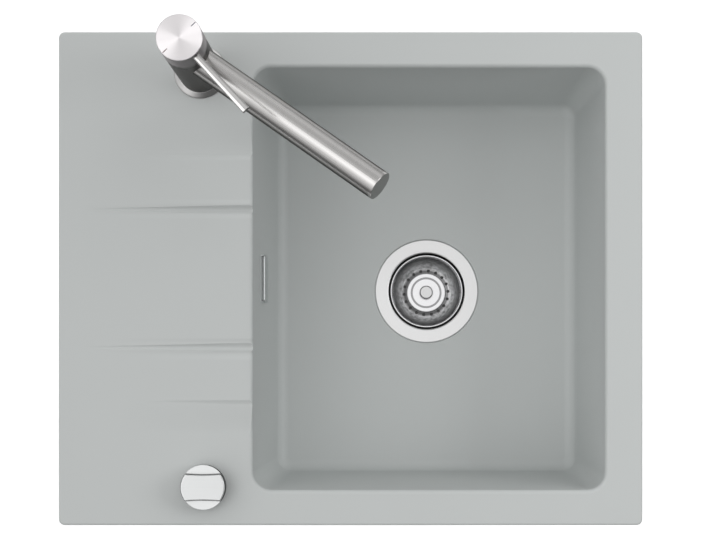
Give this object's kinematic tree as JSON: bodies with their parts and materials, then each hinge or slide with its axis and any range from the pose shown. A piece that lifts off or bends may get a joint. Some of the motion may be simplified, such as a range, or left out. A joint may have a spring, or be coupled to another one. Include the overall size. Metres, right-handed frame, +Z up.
{
  "type": "inset kitchen sink",
  "caption": "Inset sink with a bowl, ribbed drainer, overflow, single-lever swivel tap, strainer basket waste and rotary waste control.",
  "frame": {"origin": "centre of the rim's outline, on the plane of the rim's underside, which is the worktop's top face", "axes": "+X from the drainer to the bowl along the long side, +Y to the back where the tap stands, +Z up"},
  "size_m": [0.58, 0.49, 0.5055],
  "materials": {
    "moulding": "matte",
    "rubber": "matte",
    "zinc_steel": "satin",
    "satin_steel": "satin",
    "bright_steel": "polished",
    "brushed_steel": "satin",
    "brass": "satin",
    "grey_plastic": "satin",
    "dark_plastic": "satin"
  },
  "bodies": {
    "sink": {"sink_moulding": "moulding", "rim_seal": "rubber", "clip_brackets": "zinc_steel", "clip_jaws": "zinc_steel", "clip_screws": "zinc_steel", "overflow_cover": "satin_steel", "overflow_seal": "rubber", "overflow_housing": "grey_plastic", "overflow_screws": "zinc_steel", "overflow_pipe": "grey_plastic", "overflow_nuts": "dark_plastic", "waste_cup": "satin_steel", "flange_seal": "rubber", "body_seal": "rubber", "waste_body": "grey_plastic", "waste_outlet": "grey_plastic", "clamp_screw": "zinc_steel", "control_collar_seal": "rubber", "control_collar": "satin_steel", "control_washer": "rubber", "control_housing": "dark_plastic", "housing_cover": "dark_plastic", "cover_screws": "zinc_steel", "tap_base_seal": "rubber", "tap_base_ring": "brushed_steel", "tap_body": "brass", "tap_stud": "zinc_steel", "tap_washer": "rubber", "tap_backplate": "zinc_steel", "tap_nut": "brass", "lower_slide_ring": "dark_plastic", "upper_slide_ring": "dark_plastic", "sleeve_rings": "rubber", "cartridge": "grey_plastic", "cartridge_nut": "brass", "tap_collar": "brushed_steel"},
    "knob": {"control_knob": "satin_steel", "knob_screw": "zinc_steel", "control_spindle": "zinc_steel", "cable_drum": "grey_plastic"},
    "rocker": {"lift_rocker": "dark_plastic", "lift_crank": "dark_plastic"},
    "pin": {"lift_pin": "zinc_steel"},
    "basket": {"strainer_basket": "bright_steel", "basket_seal": "rubber", "basket_button": "satin_steel"},
    "spout": {"spout_sleeve": "brushed_steel", "spout_tube": "brushed_steel", "spout_end": "brushed_steel", "outlet_nozzle": "brushed_steel", "aerator": "dark_plastic"},
    "rotor": {"cartridge_rotor": "dark_plastic", "stem_pin": "zinc_steel"},
    "lever": {"lever_stem": "brass", "lever_cap": "brushed_steel", "lever_blade": "brushed_steel", "lever_screw": "zinc_steel"}
  },
  "joints": [
    {"name": "knob_turn", "type": "hinge", "parent": "sink", "child": "knob", "pos_m": [-0.145, -0.2066, 0.008], "axis": [0, 0, 1], "range_deg": [0, 90]},
    {"name": "rocker_turn", "type": "hinge", "parent": "sink", "child": "rocker", "pos_m": [0.06095, -0.0029, -0.2573], "axis": [0, -1, 0], "range_deg": [0, 25.7]},
    {"name": "pin_lift", "type": "slide", "parent": "sink", "child": "pin", "axis": [0, 0, 1], "range_m": [0, 0.008]},
    {"name": "basket_lift", "type": "slide", "parent": "pin", "child": "basket", "axis": [0, 0, 1], "range_m": [0, 0.15]},
    {"name": "spout_swivel", "type": "hinge", "parent": "sink", "child": "spout", "pos_m": [-0.149, 0.2048, 0.008], "axis": [0, 0, 1], "range_deg": [-90, 60]},
    {"name": "lever_turn", "type": "hinge", "parent": "sink", "child": "rotor", "pos_m": [-0.149, 0.2048, 0.1675], "axis": [0, 0, 1], "range_deg": [-50, 50]},
    {"name": "lever_lift", "type": "hinge", "parent": "rotor", "child": "lever", "pos_m": [-0.149, 0.2048, 0.1675], "axis": [-0.7314, -0.682, 0], "range_deg": [0, 20]}
  ],
  "couplings": [
    {"joint": "knob_turn", "follows": "pin_lift", "rad_per_m": 196.34},
    {"joint": "rocker_turn", "follows": "pin_lift", "rad_per_m": 56.06}
  ]
}
